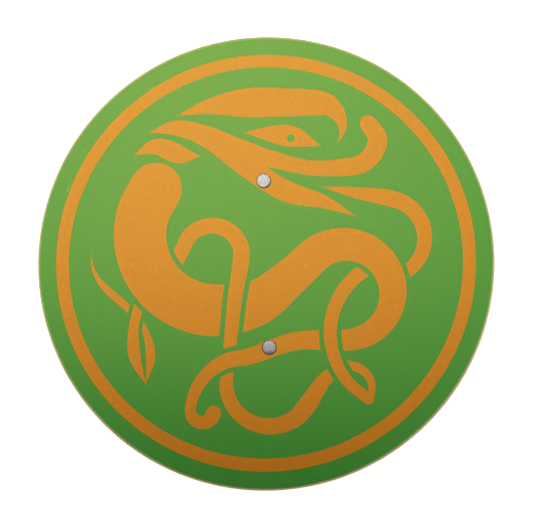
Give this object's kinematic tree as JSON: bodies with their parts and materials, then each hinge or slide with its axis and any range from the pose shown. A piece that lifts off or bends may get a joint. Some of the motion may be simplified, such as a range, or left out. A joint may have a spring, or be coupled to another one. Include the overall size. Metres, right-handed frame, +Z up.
{
  "type": "toy round shield",
  "caption": "Child's flat round play shield: painted plywood disc with a leather hand strap riveted through the back.",
  "frame": {"origin": "on the surface that the shield lies on, straight below the middle of the disc", "axes": "+Z up, out of the painted face; +Y to the top of the painted face; +X to its right"},
  "size_m": [0.3, 0.3, 0.0344],
  "materials": {
    "plywood": "satin",
    "green_paint": "satin",
    "gold_paint": "satin",
    "strap_leather": "matte",
    "rivet_nickel": "satin"
  },
  "bodies": {
    "root": {"board": "plywood", "strap": "strap_leather", "rivet_upper": "rivet_nickel", "rivet_lower": "rivet_nickel"}
  },
  "joints": []
}
